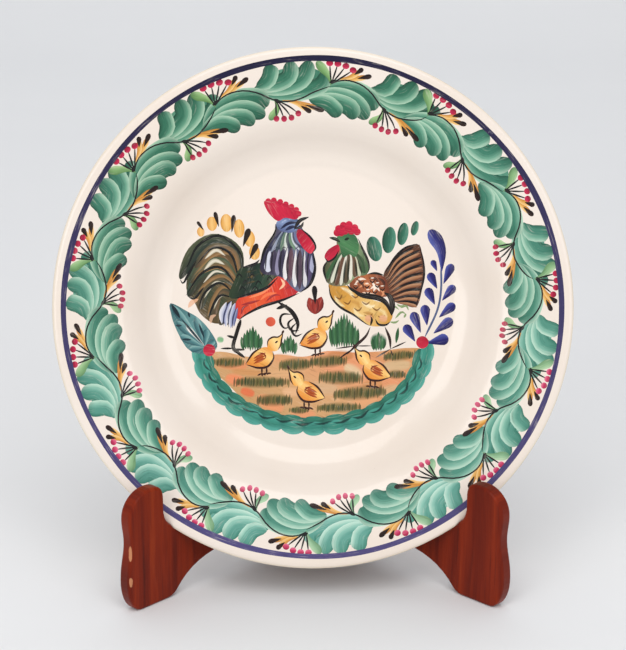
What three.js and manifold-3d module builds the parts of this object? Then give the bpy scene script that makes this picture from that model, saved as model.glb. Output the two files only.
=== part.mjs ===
// A hand-painted ceramic display plate leaning on a folding wooden plate stand.
// Millimetres, +Z up. The plate faces -Y, and the stand stands on z = 0.
import * as THREE from 'three';
import * as BufferGeometryUtils from 'three/addons/utils/BufferGeometryUtils.js';
import Module from 'manifold-3d';

const wasm = await Module();
wasm.setup();

// ---- driving dimensions -------------------------------------------------
const GAP = 0.3; // space kept between pieces that touch
const PLATE_RADIUS = 160;
const PLATE_HEIGHT = 35.4;
const RIM_THICKNESS = 4.4;
const WELL_RADIUS = 92; // flat painted middle
const WELL_HEIGHT = 9.5;
const FOOT_RING_OUTER = 99;
const FOOT_RING_INNER = 93;
const FOOT_RING_DEPTH = 3.2;
const LEAN_DEG = 18; // plate leans back from upright
const PLATE_CENTRE_Y = -45.5; // rim centre, measured from the hinge pin
const PLATE_CENTRE_Z = 174;

const SPLAY_DEG = 45; // each board, from straight ahead
const BOARD_THICKNESS = 9;
const BOARD_ROUNDING = 1.8;
const BOARD_FACE = 0.35; // inner face to the plane of the hinge pin
const BOARD_BACK = 1; // back edge, in front of the hinge pin
const UPRIGHT_TOP = 156;
const PAD_THICKNESS = 1.3;

const HINGE_HEIGHTS = [30, 118];
const LEAF_LENGTH = 26;
const LEAF_WIDTH = 8.4;
const LEAF_THICKNESS = 1.2;
const KNUCKLE_RADIUS = 2.2;
const PIN_RADIUS = 0.9;
const SCREW_SPACING = 15;
const SCREW_HEAD_RADIUS = 2;
const SCREW_SHANK_RADIUS = 0.9;
const SCREW_LENGTH = 10;

// ---- finishes -----------------------------------------------------------
const finish = (color, roughness, metalness = 0) =>
  new THREE.MeshStandardMaterial({ color, roughness, metalness });
const glaze = finish(0xeae4d9, 0.25);
const wood = finish(0x681a0c, 0.4);
const brass = finish(0xb08a4a, 0.35, 1);
const vinyl = finish(0xe6e2dc, 0.3);

// ---- solids: closed geometry cut and joined -----------------------------
function toSolid(geometry) {
  const plain = geometry.clone();
  plain.deleteAttribute('normal');
  plain.deleteAttribute('uv');
  const merged = BufferGeometryUtils.mergeVertices(plain, 1e-4);
  const mesh = new wasm.Mesh({
    numProp: 3,
    vertProperties: Float32Array.from(merged.attributes.position.array),
    triVerts: Uint32Array.from(merged.index.array),
  });
  return new wasm.Manifold(mesh);
}

function toGeometry(solid) {
  const { vertProperties, triVerts } = solid.getMesh();
  const geometry = new THREE.BufferGeometry();
  geometry.setAttribute('position', new THREE.BufferAttribute(vertProperties, 3));
  geometry.setIndex(new THREE.BufferAttribute(triVerts, 1));
  return geometry;
}

function rod(radius, bottom, top, segments = 20) {
  const rodGeometry = new THREE.CylinderGeometry(radius, radius, top - bottom, segments);
  return rodGeometry.rotateX(Math.PI / 2).translate(0, 0, (top + bottom) / 2);
}

function block(x0, x1, y0, y1, z0, z1) {
  const blockGeometry = new THREE.BoxGeometry(x1 - x0, y1 - y0, z1 - z0);
  return blockGeometry.translate((x0 + x1) / 2, (y0 + y1) / 2, (z0 + z1) / 2);
}

// ---- plate --------------------------------------------------------------
// The profile runs from the middle of the face, round the rim, and back under
// the foot ring. `grow` is the clearance used when other pieces are cut by it.
function plateProfile(grow = 0) {
  const rimEdge = PLATE_HEIGHT - 1.2;
  const face = new THREE.SplineCurve([
    new THREE.Vector2(WELL_RADIUS, WELL_HEIGHT),
    new THREE.Vector2(98, 10.9),
    new THREE.Vector2(104, 16.2),
    new THREE.Vector2(109, 23),
    new THREE.Vector2(114, 27.2),
    new THREE.Vector2(122, 29.4),
  ]).getPoints(10);
  const rim = [
    new THREE.Vector2(156, PLATE_HEIGHT - 0.2),
    new THREE.Vector2(158.6, PLATE_HEIGHT),
    new THREE.Vector2(PLATE_RADIUS, rimEdge),
  ];
  const underside = [
    new THREE.Vector2(PLATE_RADIUS - 0.3, PLATE_HEIGHT - 3.2),
    new THREE.Vector2(157.4, PLATE_HEIGHT - RIM_THICKNESS),
    new THREE.Vector2(119, 23.8),
    new THREE.Vector2(111, 18.6),
    new THREE.Vector2(105.5, 10),
    new THREE.Vector2(101, 4.4),
    new THREE.Vector2(FOOT_RING_OUTER, 0),
    new THREE.Vector2(FOOT_RING_INNER, 0),
    new THREE.Vector2(FOOT_RING_INNER - 1.5, FOOT_RING_DEPTH),
    new THREE.Vector2(0, FOOT_RING_DEPTH),
  ];
  const upper = [new THREE.Vector2(0, WELL_HEIGHT), ...face, ...rim];
  const raised = upper.map((p) => new THREE.Vector2(p.x === 0 ? 0 : p.x + grow, p.y + grow));
  const lowered = underside.map((p) => new THREE.Vector2(p.x === 0 ? 0 : p.x + grow, p.y - grow));
  return [...raised, ...lowered].reverse();
}

function plateGeometry(grow = 0) {
  const turned = new THREE.LatheGeometry(plateProfile(grow), 96);
  return turned.rotateX(Math.PI / 2).translate(0, 0, -PLATE_HEIGHT);
}

// Placed so that the plate's axis points forwards and up by the lean.
const platePlace = new THREE.Matrix4()
  .makeTranslation(0, PLATE_CENTRE_Y, PLATE_CENTRE_Z)
  .multiply(new THREE.Matrix4().makeRotationX(Math.PI / 2 - THREE.MathUtils.degToRad(LEAN_DEG)));

// ---- stand boards -------------------------------------------------------
// A board is drawn flat: x runs forwards from the hinge pin, y runs up.
const NOTCH = [
  [129, 68],
  [129, 58],
  [127.4, 52.8],
  [123.6, 48.6],
  [119, 45.6],
  [113.6, 45],
  [107, 48.4],
].map(([u, z]) => new THREE.Vector2(u, z));

function boardOutline() {
  const outline = new THREE.Shape();
  outline.moveTo(BOARD_BACK, 0);
  outline.lineTo(24, 0);
  outline.bezierCurveTo(34, 2, 38, 20, 62, 20.5);
  outline.bezierCurveTo(92, 21.5, 108, 17, 120, 3);
  outline.quadraticCurveTo(123, 0, 128, 0);
  outline.lineTo(149.5, 0);
  outline.bezierCurveTo(155, 0.8, 159.4, 9, 159, 21);
  outline.bezierCurveTo(158.6, 32, 155.8, 36, 155.6, 45);
  outline.bezierCurveTo(155.6, 52, 157.6, 56, 156.6, 63);
  outline.bezierCurveTo(155.2, 71, 148, 76.6, 140, 76.8);
  outline.bezierCurveTo(133, 77, 129.2, 75.4, NOTCH[0].x, NOTCH[0].y);
  outline.lineTo(NOTCH[1].x, NOTCH[1].y);
  outline.splineThru(NOTCH.slice(2));
  outline.bezierCurveTo(92, 60, 62, 62, 52.6, 84);
  outline.lineTo(25.4, 153);
  outline.bezierCurveTo(23, 158, 12, 160, 7, UPRIGHT_TOP);
  outline.bezierCurveTo(3, 153, BOARD_BACK, 148, BOARD_BACK, 142);
  outline.closePath();
  return outline;
}

// Turns a flat drawing upright: drawing x stays x, drawing y becomes z, and
// the thickness runs from the inner face outwards along +y.
function raise(drawing, depth, rounding, start) {
  const geometry = new THREE.ExtrudeGeometry(drawing, {
    depth: depth - 2 * rounding,
    curveSegments: 9,
    bevelEnabled: rounding > 0,
    bevelThickness: rounding,
    bevelSize: rounding,
    bevelOffset: -rounding,
    bevelSegments: 3,
  });
  return geometry.rotateX(Math.PI / 2).translate(0, start + depth - rounding, 0);
}

function padOutline() {
  const along = new THREE.SplineCurve(NOTCH.slice(3)).getPoints(10);
  const outline = new THREE.Shape();
  const lift = (p, by) => new THREE.Vector2(p.x - by * 0.55, p.y + by * 0.85);
  const lower = along.map((p) => lift(p, GAP + 0.1));
  const upper = along.map((p) => lift(p, GAP + 0.1 + PAD_THICKNESS)).reverse();
  outline.setFromPoints([...lower, ...upper]);
  return outline;
}

// ---- hinges -------------------------------------------------------------
// A leaf lies in a shallow recess in the board's back edge and curls round
// the pin. Three knuckles share the length: the outer two on the left leaf.
const KNUCKLE_OFFSET = KNUCKLE_RADIUS - LEAF_THICKNESS;
const knuckleLength = (LEAF_LENGTH - 2 * GAP) / 3;
const leafFront = KNUCKLE_RADIUS;

function knuckleSpans(side) {
  const low = -LEAF_LENGTH / 2;
  const step = knuckleLength + GAP;
  const spans = [0, 1, 2].map((i) => [low + i * step, low + i * step + knuckleLength]);
  return side === 'left' ? [spans[0], spans[2]] : [spans[1]];
}

function screwHeights() {
  return [-SCREW_SPACING / 2, SCREW_SPACING / 2];
}

const screwAcross = LEAF_WIDTH - 3.6;

function screwProfile(grow = 0) {
  const head = SCREW_HEAD_RADIUS + grow;
  const shank = SCREW_SHANK_RADIUS + grow;
  return [
    new THREE.Vector2(0, -SCREW_LENGTH - grow),
    new THREE.Vector2(shank * 0.45, -SCREW_LENGTH - grow),
    new THREE.Vector2(shank, -SCREW_LENGTH + 2),
    new THREE.Vector2(shank, -LEAF_THICKNESS),
    new THREE.Vector2(head, grow > 0 ? 0 : -0.12),
    new THREE.Vector2(head, grow > 0 ? 1 : 0),
    new THREE.Vector2(0, grow > 0 ? 1 : 0),
  ];
}

// The screw's axis points back out of the board, towards -x.
function screwGeometry(height, grow = 0) {
  const turned = new THREE.LatheGeometry(screwProfile(grow), 14);
  return turned.rotateZ(Math.PI / 2).translate(KNUCKLE_OFFSET, screwAcross, height);
}

function screwWithSlot(height) {
  const slot = block(KNUCKLE_OFFSET - 1, KNUCKLE_OFFSET + 0.55, screwAcross - 3, screwAcross + 3,
    height - 0.3, height + 0.3);
  return toSolid(screwGeometry(height)).subtract(toSolid(slot));
}

function leafSolid(side) {
  const plate = block(KNUCKLE_OFFSET, leafFront, 0, LEAF_WIDTH, -LEAF_LENGTH / 2, LEAF_LENGTH / 2);
  let leaf = toSolid(plate);
  for (const [bottom, top] of knuckleSpans(side)) {
    leaf = leaf.add(toSolid(rod(KNUCKLE_RADIUS, bottom, top)));
  }
  const other = side === 'left' ? 'right' : 'left';
  for (const [bottom, top] of knuckleSpans(other)) {
    leaf = leaf.subtract(toSolid(rod(KNUCKLE_RADIUS + GAP, bottom - GAP, top + GAP)));
  }
  leaf = leaf.subtract(toSolid(rod(PIN_RADIUS + GAP, -LEAF_LENGTH, LEAF_LENGTH, 16)));
  for (const height of screwHeights()) {
    leaf = leaf.subtract(toSolid(screwGeometry(height, GAP)));
  }
  return leaf;
}

function leafRecess() {
  const back = -KNUCKLE_RADIUS - 1;
  return toSolid(block(back, leafFront + GAP, -1, LEAF_WIDTH + GAP,
    -LEAF_LENGTH / 2 - GAP, LEAF_LENGTH / 2 + GAP));
}

// ---- one half of the stand ----------------------------------------------
// Everything is made for the right half, whose thickness runs along +y before
// it is turned. The left half is its mirror image.
const splay = THREE.MathUtils.degToRad(SPLAY_DEG);
const placeHalf = {
  right: new THREE.Matrix4().makeRotationZ(splay - Math.PI / 2),
  left: new THREE.Matrix4().makeScale(-1, 1, 1)
    .multiply(new THREE.Matrix4().makeRotationZ(splay - Math.PI / 2)),
};
const plateRoom = toSolid(plateGeometry(GAP).applyMatrix4(platePlace));

function placed(solid, side, height = 0) {
  const place = placeHalf[side].clone().multiply(new THREE.Matrix4().makeTranslation(0, 0, height));
  return solid.transform(place.elements);
}

function boardSolid(side) {
  const outer = raise(boardOutline(), BOARD_THICKNESS, BOARD_ROUNDING, BOARD_FACE);
  let board = toSolid(outer);
  for (const height of HINGE_HEIGHTS) {
    const up = new THREE.Matrix4().makeTranslation(0, 0, height).elements;
    board = board.subtract(leafRecess().transform(up));
    for (const screwHeight of screwHeights()) {
      board = board.subtract(toSolid(screwGeometry(screwHeight, GAP)).transform(up));
    }
  }
  return placed(board, side).subtract(plateRoom);
}

function padSolid(side) {
  const strip = raise(padOutline(), BOARD_THICKNESS - 2, 0, BOARD_FACE + 1);
  return placed(toSolid(strip), side).subtract(plateRoom);
}

// ---- assembly -----------------------------------------------------------
const assembly = new THREE.Group();

function addPiece(name, geometry, material) {
  geometry.computeVertexNormals();
  const mesh = new THREE.Mesh(geometry, material);
  mesh.name = name;
  assembly.add(mesh);
  return mesh;
}

addPiece('plate', plateGeometry(), glaze).applyMatrix4(platePlace);
for (const side of ['left', 'right']) {
  addPiece(`${side}_leg`, toGeometry(boardSolid(side)), wood);
  addPiece(`${side}_rim_pad`, toGeometry(padSolid(side)), vinyl);
}
HINGE_HEIGHTS.forEach((height, i) => {
  const hinge = ['lower_hinge', 'upper_hinge'][i];
  for (const side of ['left', 'right']) {
    addPiece(`${hinge}_${side}_leaf`, toGeometry(placed(leafSolid(side), side, height)), brass);
    screwHeights().forEach((screwHeight, j) => {
      const screw = placed(screwWithSlot(screwHeight), side, height);
      addPiece(`${hinge}_${side}_screw_${j + 1}`, toGeometry(screw), brass);
    });
  }
  const pin = rod(PIN_RADIUS, -LEAF_LENGTH / 2, LEAF_LENGTH / 2, 16);
  addPiece(`${hinge}_pin`, pin, brass).position.z = height;
});

// The origin sits on the ground under the middle of the whole object.
const middle = new THREE.Box3().setFromObject(assembly, true).getCenter(new THREE.Vector3());
assembly.position.set(-middle.x, -middle.y, 0);

const displayPlate = new THREE.Group();
displayPlate.add(assembly);
export default displayPlate;
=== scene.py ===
import math
import random

import bpy
import numpy as np
from mathutils import Matrix, Vector
from mathutils.geometry import delaunay_2d_cdt


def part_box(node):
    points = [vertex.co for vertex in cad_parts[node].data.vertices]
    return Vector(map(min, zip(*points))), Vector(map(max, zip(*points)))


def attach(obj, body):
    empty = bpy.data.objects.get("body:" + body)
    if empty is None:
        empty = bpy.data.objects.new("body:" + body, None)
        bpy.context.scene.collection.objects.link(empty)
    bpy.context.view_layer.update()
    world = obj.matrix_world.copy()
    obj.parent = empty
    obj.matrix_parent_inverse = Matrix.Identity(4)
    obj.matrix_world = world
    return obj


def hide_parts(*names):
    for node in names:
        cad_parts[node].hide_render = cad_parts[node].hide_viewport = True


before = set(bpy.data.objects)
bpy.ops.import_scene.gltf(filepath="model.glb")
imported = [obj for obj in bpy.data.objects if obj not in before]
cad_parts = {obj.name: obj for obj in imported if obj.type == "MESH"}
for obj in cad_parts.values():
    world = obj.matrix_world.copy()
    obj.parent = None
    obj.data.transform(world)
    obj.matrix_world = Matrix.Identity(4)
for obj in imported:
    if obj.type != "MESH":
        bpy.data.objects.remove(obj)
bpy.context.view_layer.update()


# ---- Where the plate leans, and the camera that faces it ---------------------
# The plate leans back on its stand, and the camera looks square at its face
# from just over a metre away, turned a degree aside.
MM = 0.001
LEAN = math.radians(18)
PLATE_RADIUS = 160
RIM_HEIGHT = 35.4
plate_low, plate_high = (Vector(corner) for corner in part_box("plate"))
face_up = Vector((0, math.sin(LEAN), math.cos(LEAN)))
face_out = Vector((0, -math.cos(LEAN), math.sin(LEAN)))
rim_centre = Vector((0, plate_low.y + PLATE_RADIUS * MM * math.sin(LEAN), plate_high.z))
rim_centre.z -= PLATE_RADIUS * MM * math.cos(LEAN)

camera_data = bpy.data.cameras.new("camera")
camera = bpy.data.objects.new("camera", camera_data)
bpy.context.collection.objects.link(camera)
CAMERA_DISTANCE = 1.15
VIEW_HEIGHT = 0.398      # what the taller side of the picture takes in, at that distance
AIM_BELOW = 10.7 * MM    # the camera aims a little under the plate's middle, and to its left
AIM_ASIDE = -0.5 * MM
camera_data.lens = camera_data.sensor_width * CAMERA_DISTANCE / VIEW_HEIGHT
turned_aside = Matrix.Rotation(math.radians(-1.2), 3, "Z")
aim = rim_centre - AIM_BELOW * face_up + Vector((AIM_ASIDE, 0, 0))
camera.location = aim + turned_aside @ face_out * CAMERA_DISTANCE
camera.rotation_euler = (aim - camera.location).to_track_quat("-Z", "Y").to_euler()
bpy.context.scene.camera = camera
bpy.context.scene.view_settings.view_transform = "Standard"


# ---- The plate's painting ----------------------------------------------------
# The face is painted by hand in coloured glazes. Each brush stroke is a shape
# laid on the face in millimetres from its middle, and later strokes cover
# earlier ones. The plate's own mesh is then cut along every stroke's edge.
SHAPES = {
    "leaf": lambda t: np.sin(np.pi * t) ** 0.75,
    "comma": lambda t: np.where(t < 0.72, (t / 0.72) ** 0.8,
                                np.sqrt(np.clip(1 - ((t - 0.72) / 0.28) ** 2, 0, 1))),
    "dot": lambda t: np.sqrt(np.clip(1 - (2 * t - 1) ** 2, 0, 1)),
    "brushful": lambda t: (np.where(t < 0.5, 0.25 + 0.75 * np.sin(np.pi * np.minimum(t, 0.5)), 1)
                           * np.sqrt(np.clip(1 - ((np.maximum(t, 0.8) - 0.8) / 0.2) ** 2, 0, 1))
                           * np.minimum(1, 12 * t) ** 0.5),
    "line": lambda t: np.minimum(1, 8 * np.minimum(t, 1 - t)) ** 0.5,
}
painting = []
wobble = random.Random(7)


def linear(colour):
    """A hex colour as scene-linear red, green and blue."""
    parts = [int(colour[i:i + 2], 16) / 255 for i in (0, 2, 4)]
    return [c / 12.92 if c <= 0.04045 else ((c + 0.055) / 1.055) ** 2.4 for c in parts]


def smooth(points, count, closed=False):
    """Points evenly along a Catmull-Rom curve through the given ones."""
    points = np.array(points, float)
    if closed:
        knots = np.vstack([points[-1:], points, points[:2]])
    else:
        knots = np.vstack([2 * points[:1] - points[1:2], points, 2 * points[-1:] - points[-2:-1]])
    fine = []
    for a, b, c, d in zip(knots, knots[1:], knots[2:], knots[3:]):
        t = np.linspace(0, 1, 12, endpoint=False)[:, None]
        fine.append(0.5 * (2 * b + (c - a) * t + (2 * a - 5 * b + 4 * c - d) * t ** 2
            + (3 * b - a - 3 * c + d) * t ** 3))
    fine = np.vstack(fine + [knots[-2:-1]])
    along = np.concatenate([[0], np.cumsum(np.linalg.norm(np.diff(fine, axis=0), axis=1))])
    share = np.linspace(0, 1, count) if closed else (1 - np.cos(np.pi * np.linspace(0, 1, count))) / 2
    wanted = along[-1] * share
    return np.stack([np.interp(wanted, along, fine[:, k]) for k in (0, 1)], axis=1), along[-1]


def stroke(points, width, tones, shape="leaf", soft=False, strength=1.0, pool=None):
    """One pull of the brush along points, its tones laid from left to right. A pool
    is a darker tone that gathers at both ends."""
    length = sum(math.dist(a, b) for a, b in zip(points, points[1:]))
    count = int(np.clip(length / (0.6 + 0.1 * width), 7, 30)) + (6 if shape == "dot" else 0)
    middle, length = smooth(points, count)
    t = (1 - np.cos(np.pi * np.linspace(0, 1, count))) / 2
    half = np.maximum(SHAPES[shape](t) * width / 2, 0)
    way = np.gradient(middle, axis=0)
    way /= np.maximum(np.linalg.norm(way, axis=1), 1e-9)[:, None]
    side = np.stack([-way[:, 1], way[:, 0]], axis=1) * half[:, None]
    outline = np.vstack([middle + side, (middle - side)[::-1]])
    ribs = [middle] if width > 1.6 else []
    if width > 4.5:
        ribs += [middle + side * 0.5, middle - side * 0.5]
    painting.append({"outline": outline, "ribs": ribs, "middle": middle, "half": half, "t": t,
        "length": length, "tones": np.array([linear(c) for c in tones]), "soft": soft,
        "strength": strength, "pool": pool and np.array(linear(pool))})


def fill(points, tones, angle=0.0):
    """A flat wash inside a closed outline, its tones laid across it at an angle."""
    outline = smooth(points, 5 * len(points), closed=True)[0][:-1]
    across = np.array([math.cos(math.radians(angle)), math.sin(math.radians(angle))])
    painting.append({"outline": outline, "ribs": [], "across": across, "span": (outline @ across),
                     "tones": np.array([linear(c) for c in tones]), "soft": False, "strength": 1.0})


def dot(place, width, tones, soft=False):
    x, y = place
    stroke([(x - width * 0.49, y + width * 0.1), (x + width * 0.49, y - width * 0.1)], width, tones,
        "dot", soft=soft)


def hatch(a, b, height, tones):
    """Short upright dashes over a wash, from a to b."""
    count = int(math.dist(a, b) / 1.05)
    for i in range(count):
        share = (i + wobble.random()) / count
        x = a[0] + (b[0] - a[0]) * share
        y = a[1] + (b[1] - a[1]) * share + wobble.uniform(-0.14, 0.14) * height
        reach = height * wobble.uniform(0.32, 0.5)
        stroke([(x - 0.25, y - reach), (x + 0.25, y + reach)], 1.15, [wobble.choice(tones)], strength=0.75)


def grass(foot, width, height, blades):
    """A tuft: blades that rise to a peak in its middle, dark between them."""
    for i in range(blades):
        share = (i + 0.5) / blades * 2 - 1
        x = foot[0] + share * width / 2
        top = foot[1] + height * (1 - 0.5 * abs(share)) * wobble.uniform(0.88, 1)
        bottom = foot[1] + wobble.uniform(-0.8, 0.6)
        tones = ["1f4a2c", "4f8258"] if i % 2 else ["3c6e42", "173a22"]
        stroke([(x - share * 0.4, bottom), (x + share * 0.9, top)], width / blades * 1.7, tones)


def scallops(centre, reach, count, size, tones, first, last):
    """Round dabs end to end along the lower half of an oval, each darker where it starts."""
    for i in range(count):
        a = math.radians(first + (last - first) * i / (count - 1))
        middle = Vector((centre[0] + reach[0] * math.cos(a), centre[1] + reach[1] * math.sin(a)))
        out = Vector((math.cos(a) / reach[0], math.sin(a) / reach[1])).normalized()
        along = Vector((-out.y, out.x)) * size[0] * wobble.uniform(0.58, 0.64)
        bow = out * size[1] * 0.1
        stroke([middle - along, middle + bow, middle + along], size[1] * wobble.uniform(0.94, 1.06),
            tones[1:], "dot", pool=tones[0])


def chick(body, head, facing):
    """A yellow chick, outlined in brown: facing is 1 to the right, -1 to the left."""
    def at(x, y):
        return (body[0] + facing * x, body[1] + y)

    def face(x, y):
        return (head[0] + facing * x, head[1] + y)

    brown = ["34160c"]
    fill([at(-8.6, -4), at(-4.5, 2.2), at(1.5, 6), at(6.6, 5), at(7.8, -0.5), at(4.6, -5.6),
        at(-1, -6.6), at(-5.5, -5.6)], ["e08a34", "f2c878", "e69c44", "d98230"], angle=60)
    outline = [face(-4.2, -1.6), face(-3.6, 2.4), face(-0.6, 4.4), face(2.6, 4.4), face(5.8, 7),
        face(4.8, 3), face(4.2, -0.6), face(2.4, -3.8), face(-1.6, -4.4)]
    fill(outline, ["eba64a", "f7d68c", "e8962e"], angle=35)
    for lift in (-2.4, -0.8, 0.8):
        stroke([at(-4.4, -1.8 + lift), at(-0.6, lift), at(3.4, 1.8 + lift)], 1.8, ["8e3410", "b85a1c"])
    stroke([at(-1.6, 2.6), at(1.6, 2.2), at(3.4, 0.4), at(2.4, -1.6)], 0.9, ["7a2c10"])
    stroke(outline[:5], 1.1, brown)
    stroke(outline[4:8], 1.1, brown)
    stroke([face(4.4, 5.2), face(6.2, 8.6)], 1.5, brown, "comma")
    stroke([at(-9.4, -4.6), at(-4.6, 2.4), at(1, 6)], 1.3, brown)
    stroke([at(7.6, 3.6), at(8.2, -0.8), at(4.6, -5.9), at(-1.2, -6.8), at(-5.8, -5.7), at(-9.4, -4.6)],
        1.5, brown)
    stroke([face(0.8, 0.6), face(2.4, 2)], 1.1, brown, "dot")
    for leg, toes in ((1, ((-2, -11.6), (1, -12.2), (3.4, -11.4))),
            (4, ((2, -10.4), (4.6, -11.2), (6.8, -10.2)))):
        stroke([at(leg, -6.2), at(leg - 0.2, -8.6), at(leg, -10.8)], 1.2, brown)
        for toe in toes:
            stroke([at(leg, -10.2), at(*toe)], 1.2, brown)


# The border: a thin stem waves round the rim, over and under fourteen pairs of
# leaves. At each turn it carries a spray of four berries and ochre buds. A leaf
# is four broad strokes, each with a pale edge, from one point: deep green at the
# plate's top and aqua at its foot.
LEAF_TURNS = [23.6, 49, 76, 99, 123, 148, 173, 200, 225, 249, 275, 300, 326, 354]
LEAF_MIDDLE = 16.1
EVEN_SPACING = 25.7
OUTER_LEAF = [([(8.2, 137.6), (13.2, 132.7), (18.8, 132.6), (23.6, 137), (24.2, 145.4)], 10.4),
              ([(8.2, 138.6), (14, 136.6), (19, 140), (21, 151)], 10.8),
              ([(8.3, 139.2), (13.2, 139.4), (16.4, 142.8), (17.1, 151.8)], 10.6),
              ([(8.6, 139.8), (11.6, 142), (13.1, 151.4)], 9.8)]
INNER_LEAF = [([(-6.8, 129.4), (-2, 135), (3.6, 136.4), (8.8, 133.2), (10.4, 126.6)], 10.2),
              ([(-6.9, 128.8), (-0.5, 131), (4.8, 129.2), (9.4, 121.4)], 10.6),
              ([(-7, 128.2), (-0.6, 127.4), (4, 125), (5.8, 118.8)], 10.4),
              ([(-7, 127.8), (-2, 126.4), (1.8, 119.4)], 9)]
OUTER_BODY = [(9, 138.8), (11.8, 145.6), (15, 147.4), (19, 147.6), (22.6, 145.8), (24, 140), (21.5, 134),
    (17, 130.6), (12.2, 133.2)]
INNER_BODY = [(-6.2, 128.4), (-1.2, 125.4), (2.8, 122.6), (6.2, 122), (9.4, 125.4), (10.2, 130),
    (7, 136.2), (2.4, 139), (-2.6, 136)]
OUTER_SPRAY = ((-1.4, 137.8), [(-2.1, 150.2), (-0.3, 150.2), (1.5, 149.4), (3.2, 147.6)],
               ([(-1.4, 136.6), (-2.2, 142.6), (-5, 150.8)], 6.2),
               [[(0.4, 140.2), (3.4, 142), (6.9, 145.6)], [(0, 140.6), (3, 143.4), (5, 148.6)]])
INNER_SPRAY = ((12.6, 129.8), [(11.9, 118.6), (13.9, 117.8), (15.9, 117.9), (17.8, 120)],
               ([(12.2, 130.6), (12.6, 124.8), (10, 118.6)], 5.4),
               [[(14, 129), (18, 126.4), (23.4, 122)], [(14.4, 128.6), (17.6, 126), (20.6, 121.2)]])
STEM = [(-1.6, 137.4), (0.6, 140.2), (3, 141), (6, 139.6), (8.8, 136), (10.8, 132), (12.6, 129.4),
    (15.8, 127.6), (19, 129), (21.8, 132.4)]


def border_place(turn, radius):
    a = math.radians(turn)
    return (radius * math.sin(a), radius * math.cos(a))


def blended(first, second, share):
    share = min(1, max(0, share))
    pair = zip((int(first[i:i + 2], 16) for i in (0, 2, 4)), (int(second[i:i + 2], 16) for i in (0, 2, 4)))
    return "".join(f"{round(a + (b - a) * share):02x}" for a, b in pair)


def border_leaves(on, middle, low):
    """One pair of leaves; low is 0 at the plate's top, 1 at its foot."""
    for edge, strokes, depth, outward in ((OUTER_BODY, OUTER_LEAF, low, True),
            (INNER_BODY, INNER_LEAF, low * 0.62, False)):
        depth += wobble.uniform(-0.1, 0.1)
        dark = blended("134230", "38806e", depth)
        body = blended("2f6c54", "62a193", depth)
        light = blended("5c947a", "8cc2b2", depth)
        pale = blended("a6c9ae", "c2e2d2", depth)
        fill([on(*p) for p in edge], [body, light], angle=middle)
        for points, width in strokes:
            tones = [dark, body, body, light, pale] if outward else [pale, light, body, body, dark]
            path = [on(turn + wobble.uniform(-0.25, 0.25), radius + wobble.uniform(-0.4, 0.4))
                for turn, radius in points]
            stroke(path, width * wobble.uniform(0.94, 1.06), tones, "brushful", pool=dark)


def border_sprays(on, low, next_node):
    """The pair's two sprays, and the stem on to the next pair."""
    black = ["161817"]
    for node, berries, (sepal, sepal_width), buds in (OUTER_SPRAY, INNER_SPRAY):
        leafy = [blended("557f48", "6f9a72", low), blended("7aa566", "8fb892", low),
            blended("9fc088", "b2d2ac", low)]
        stroke([on(*p) for p in sepal], sepal_width * 0.9, leafy, "comma",
            pool=blended("3a663c", "4f8462", low))
        for points in buds:
            root, waist, tip = (on(*p) for p in points)
            past = (tip[0] * 1.2 - waist[0] * 0.2, tip[1] * 1.2 - waist[1] * 0.2)
            near = (tip[0] * 0.3 + waist[0] * 0.7, tip[1] * 0.3 + waist[1] * 0.7)
            stroke([root, waist, tip], 3.4, ["b9762a", "dba552", "edc888"], "comma")
            stroke([near, past], 3.2, ["120907", "2c150b"], "comma")
        for turn, radius in berries:
            halfway = on(node[0] * 0.4 + turn * 0.6, node[1] * 0.45 + radius * 0.55)
            stroke([on(*node), halfway, on(turn, radius)], 1.1, black)
        for turn, radius in berries:
            lean = wobble.uniform(-0.3, 0.3)
            reds = ["7e0c2a", "a8163c", "c42c54"] if low < 0.6 else ["9c1c46", "be2f5a", "dc6a8c"]
            stroke([on(turn - 0.78, radius - lean), on(turn + 0.78, radius + lean)], 3.7, reds, "dot")
        stroke([on(node[0] - 0.5, node[1] + 0.6),
            on(node[0] + 1.1, node[1] + (2.4 if node[1] > 134 else -2.4))], 2.4, black)
    stroke([on(*p) for p in STEM] + [border_place(next_node, 136.6)], 0.95, black, "line")


units = []
for i, middle in enumerate(LEAF_TURNS):
    following = LEAF_TURNS[(i + 1) % 14] + (360 if i == 13 else 0)
    before = LEAF_TURNS[i - 1] - (360 if i == 0 else 0)
    stretch = (following - before) / 2 / EVEN_SPACING

    def on(turn, radius, middle=middle, stretch=stretch):
        return border_place(middle + (turn - LEAF_MIDDLE) * stretch, radius)

    units.append((on, middle, following, stretch, (1 - math.cos(math.radians(middle))) / 2))
for on, middle, following, stretch, low in units:
    border_leaves(on, middle, low)
for i, (on, middle, following, stretch, low) in enumerate(units):
    next_stretch = units[(i + 1) % 14][3]
    border_sprays(on, low, following + (OUTER_SPRAY[0][0] - LEAF_MIDDLE) * next_stretch)

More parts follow.
